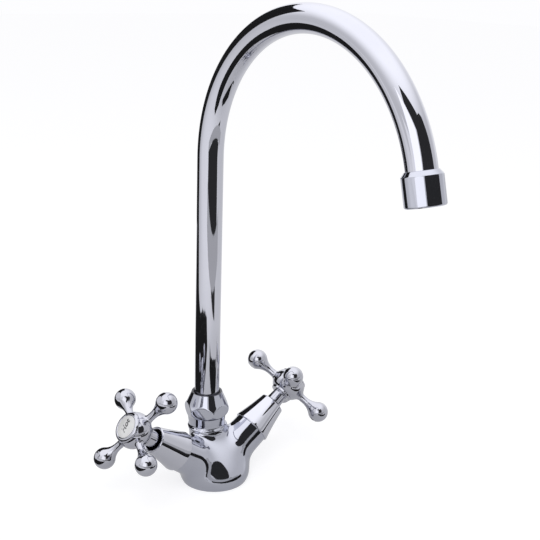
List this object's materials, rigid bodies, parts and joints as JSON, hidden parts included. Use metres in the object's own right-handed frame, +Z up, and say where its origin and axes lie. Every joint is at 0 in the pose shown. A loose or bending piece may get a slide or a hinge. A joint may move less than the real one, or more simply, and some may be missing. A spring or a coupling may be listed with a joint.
{
  "type": "two-handle kitchen mixer tap",
  "caption": "Deck-mounted kitchen mixer tap with a tall swan-neck swivel spout and cross handles on quarter-turn valves.",
  "frame": {"origin": "centre of the base's flat underside, on the worktop", "axes": "+Z up, +X towards the right-hand handle, and the spout pours towards -Y"},
  "size_m": [0.1803, 0.2317, 0.3444],
  "materials": {
    "chrome": "polished chrome plate",
    "brass": "bare turned brass",
    "rubber": "matt black nitrile rubber",
    "alumina": "lapped white ceramic",
    "ceramic": "white glaze",
    "plastic": "natural acetal",
    "steel": "stainless steel"
  },
  "bodies": {
    "body": {"body_casting": "chrome", "base_seal": "rubber", "spout_nut": "chrome", "spout_slide_washer": "plastic", "spout_thrust_ring": "plastic", "left_valve_bonnet": "brass", "left_seat_seal": "rubber", "left_fixed_disc": "alumina", "left_bell_shroud": "chrome", "right_valve_bonnet": "brass", "right_seat_seal": "rubber", "right_fixed_disc": "alumina", "right_bell_shroud": "chrome"},
    "spout": {"spout_tube": "chrome", "spout_spigot": "brass", "spout_o_rings": "rubber", "outlet_ferrule": "brass", "aerator_housing": "chrome", "aerator_seal": "rubber", "aerator_cartridge": "plastic", "aerator_screen": "steel"},
    "left_handle": {"left_handle_cross": "chrome", "left_handle_screw": "steel", "left_index_bezel": "chrome", "left_index_disc": "ceramic", "left_spindle": "brass", "left_spindle_o_ring": "rubber", "left_circlip": "steel", "left_moving_disc": "alumina"},
    "right_handle": {"right_handle_cross": "chrome", "right_handle_screw": "steel", "right_index_bezel": "chrome", "right_index_disc": "ceramic", "right_spindle": "brass", "right_spindle_o_ring": "rubber", "right_circlip": "steel", "right_moving_disc": "alumina"}
  },
  "joints": [
    {"name": "spout_swivel", "type": "hinge", "parent": "body", "child": "spout", "pos_m": [0, 0.0113, 0.055], "axis": [0, 0, 1], "continuous": true},
    {"name": "left_handle_turn", "type": "hinge", "parent": "body", "child": "left_handle", "pos_m": [-0.0332, 0, 0.03049], "axis": [-0.8059, 0, 0.592], "range_deg": [0, 90]},
    {"name": "right_handle_turn", "type": "hinge", "parent": "body", "child": "right_handle", "pos_m": [0.0332, 0, 0.03049], "axis": [0.8059, 0, 0.592], "range_deg": [-90, 0]}
  ]
}
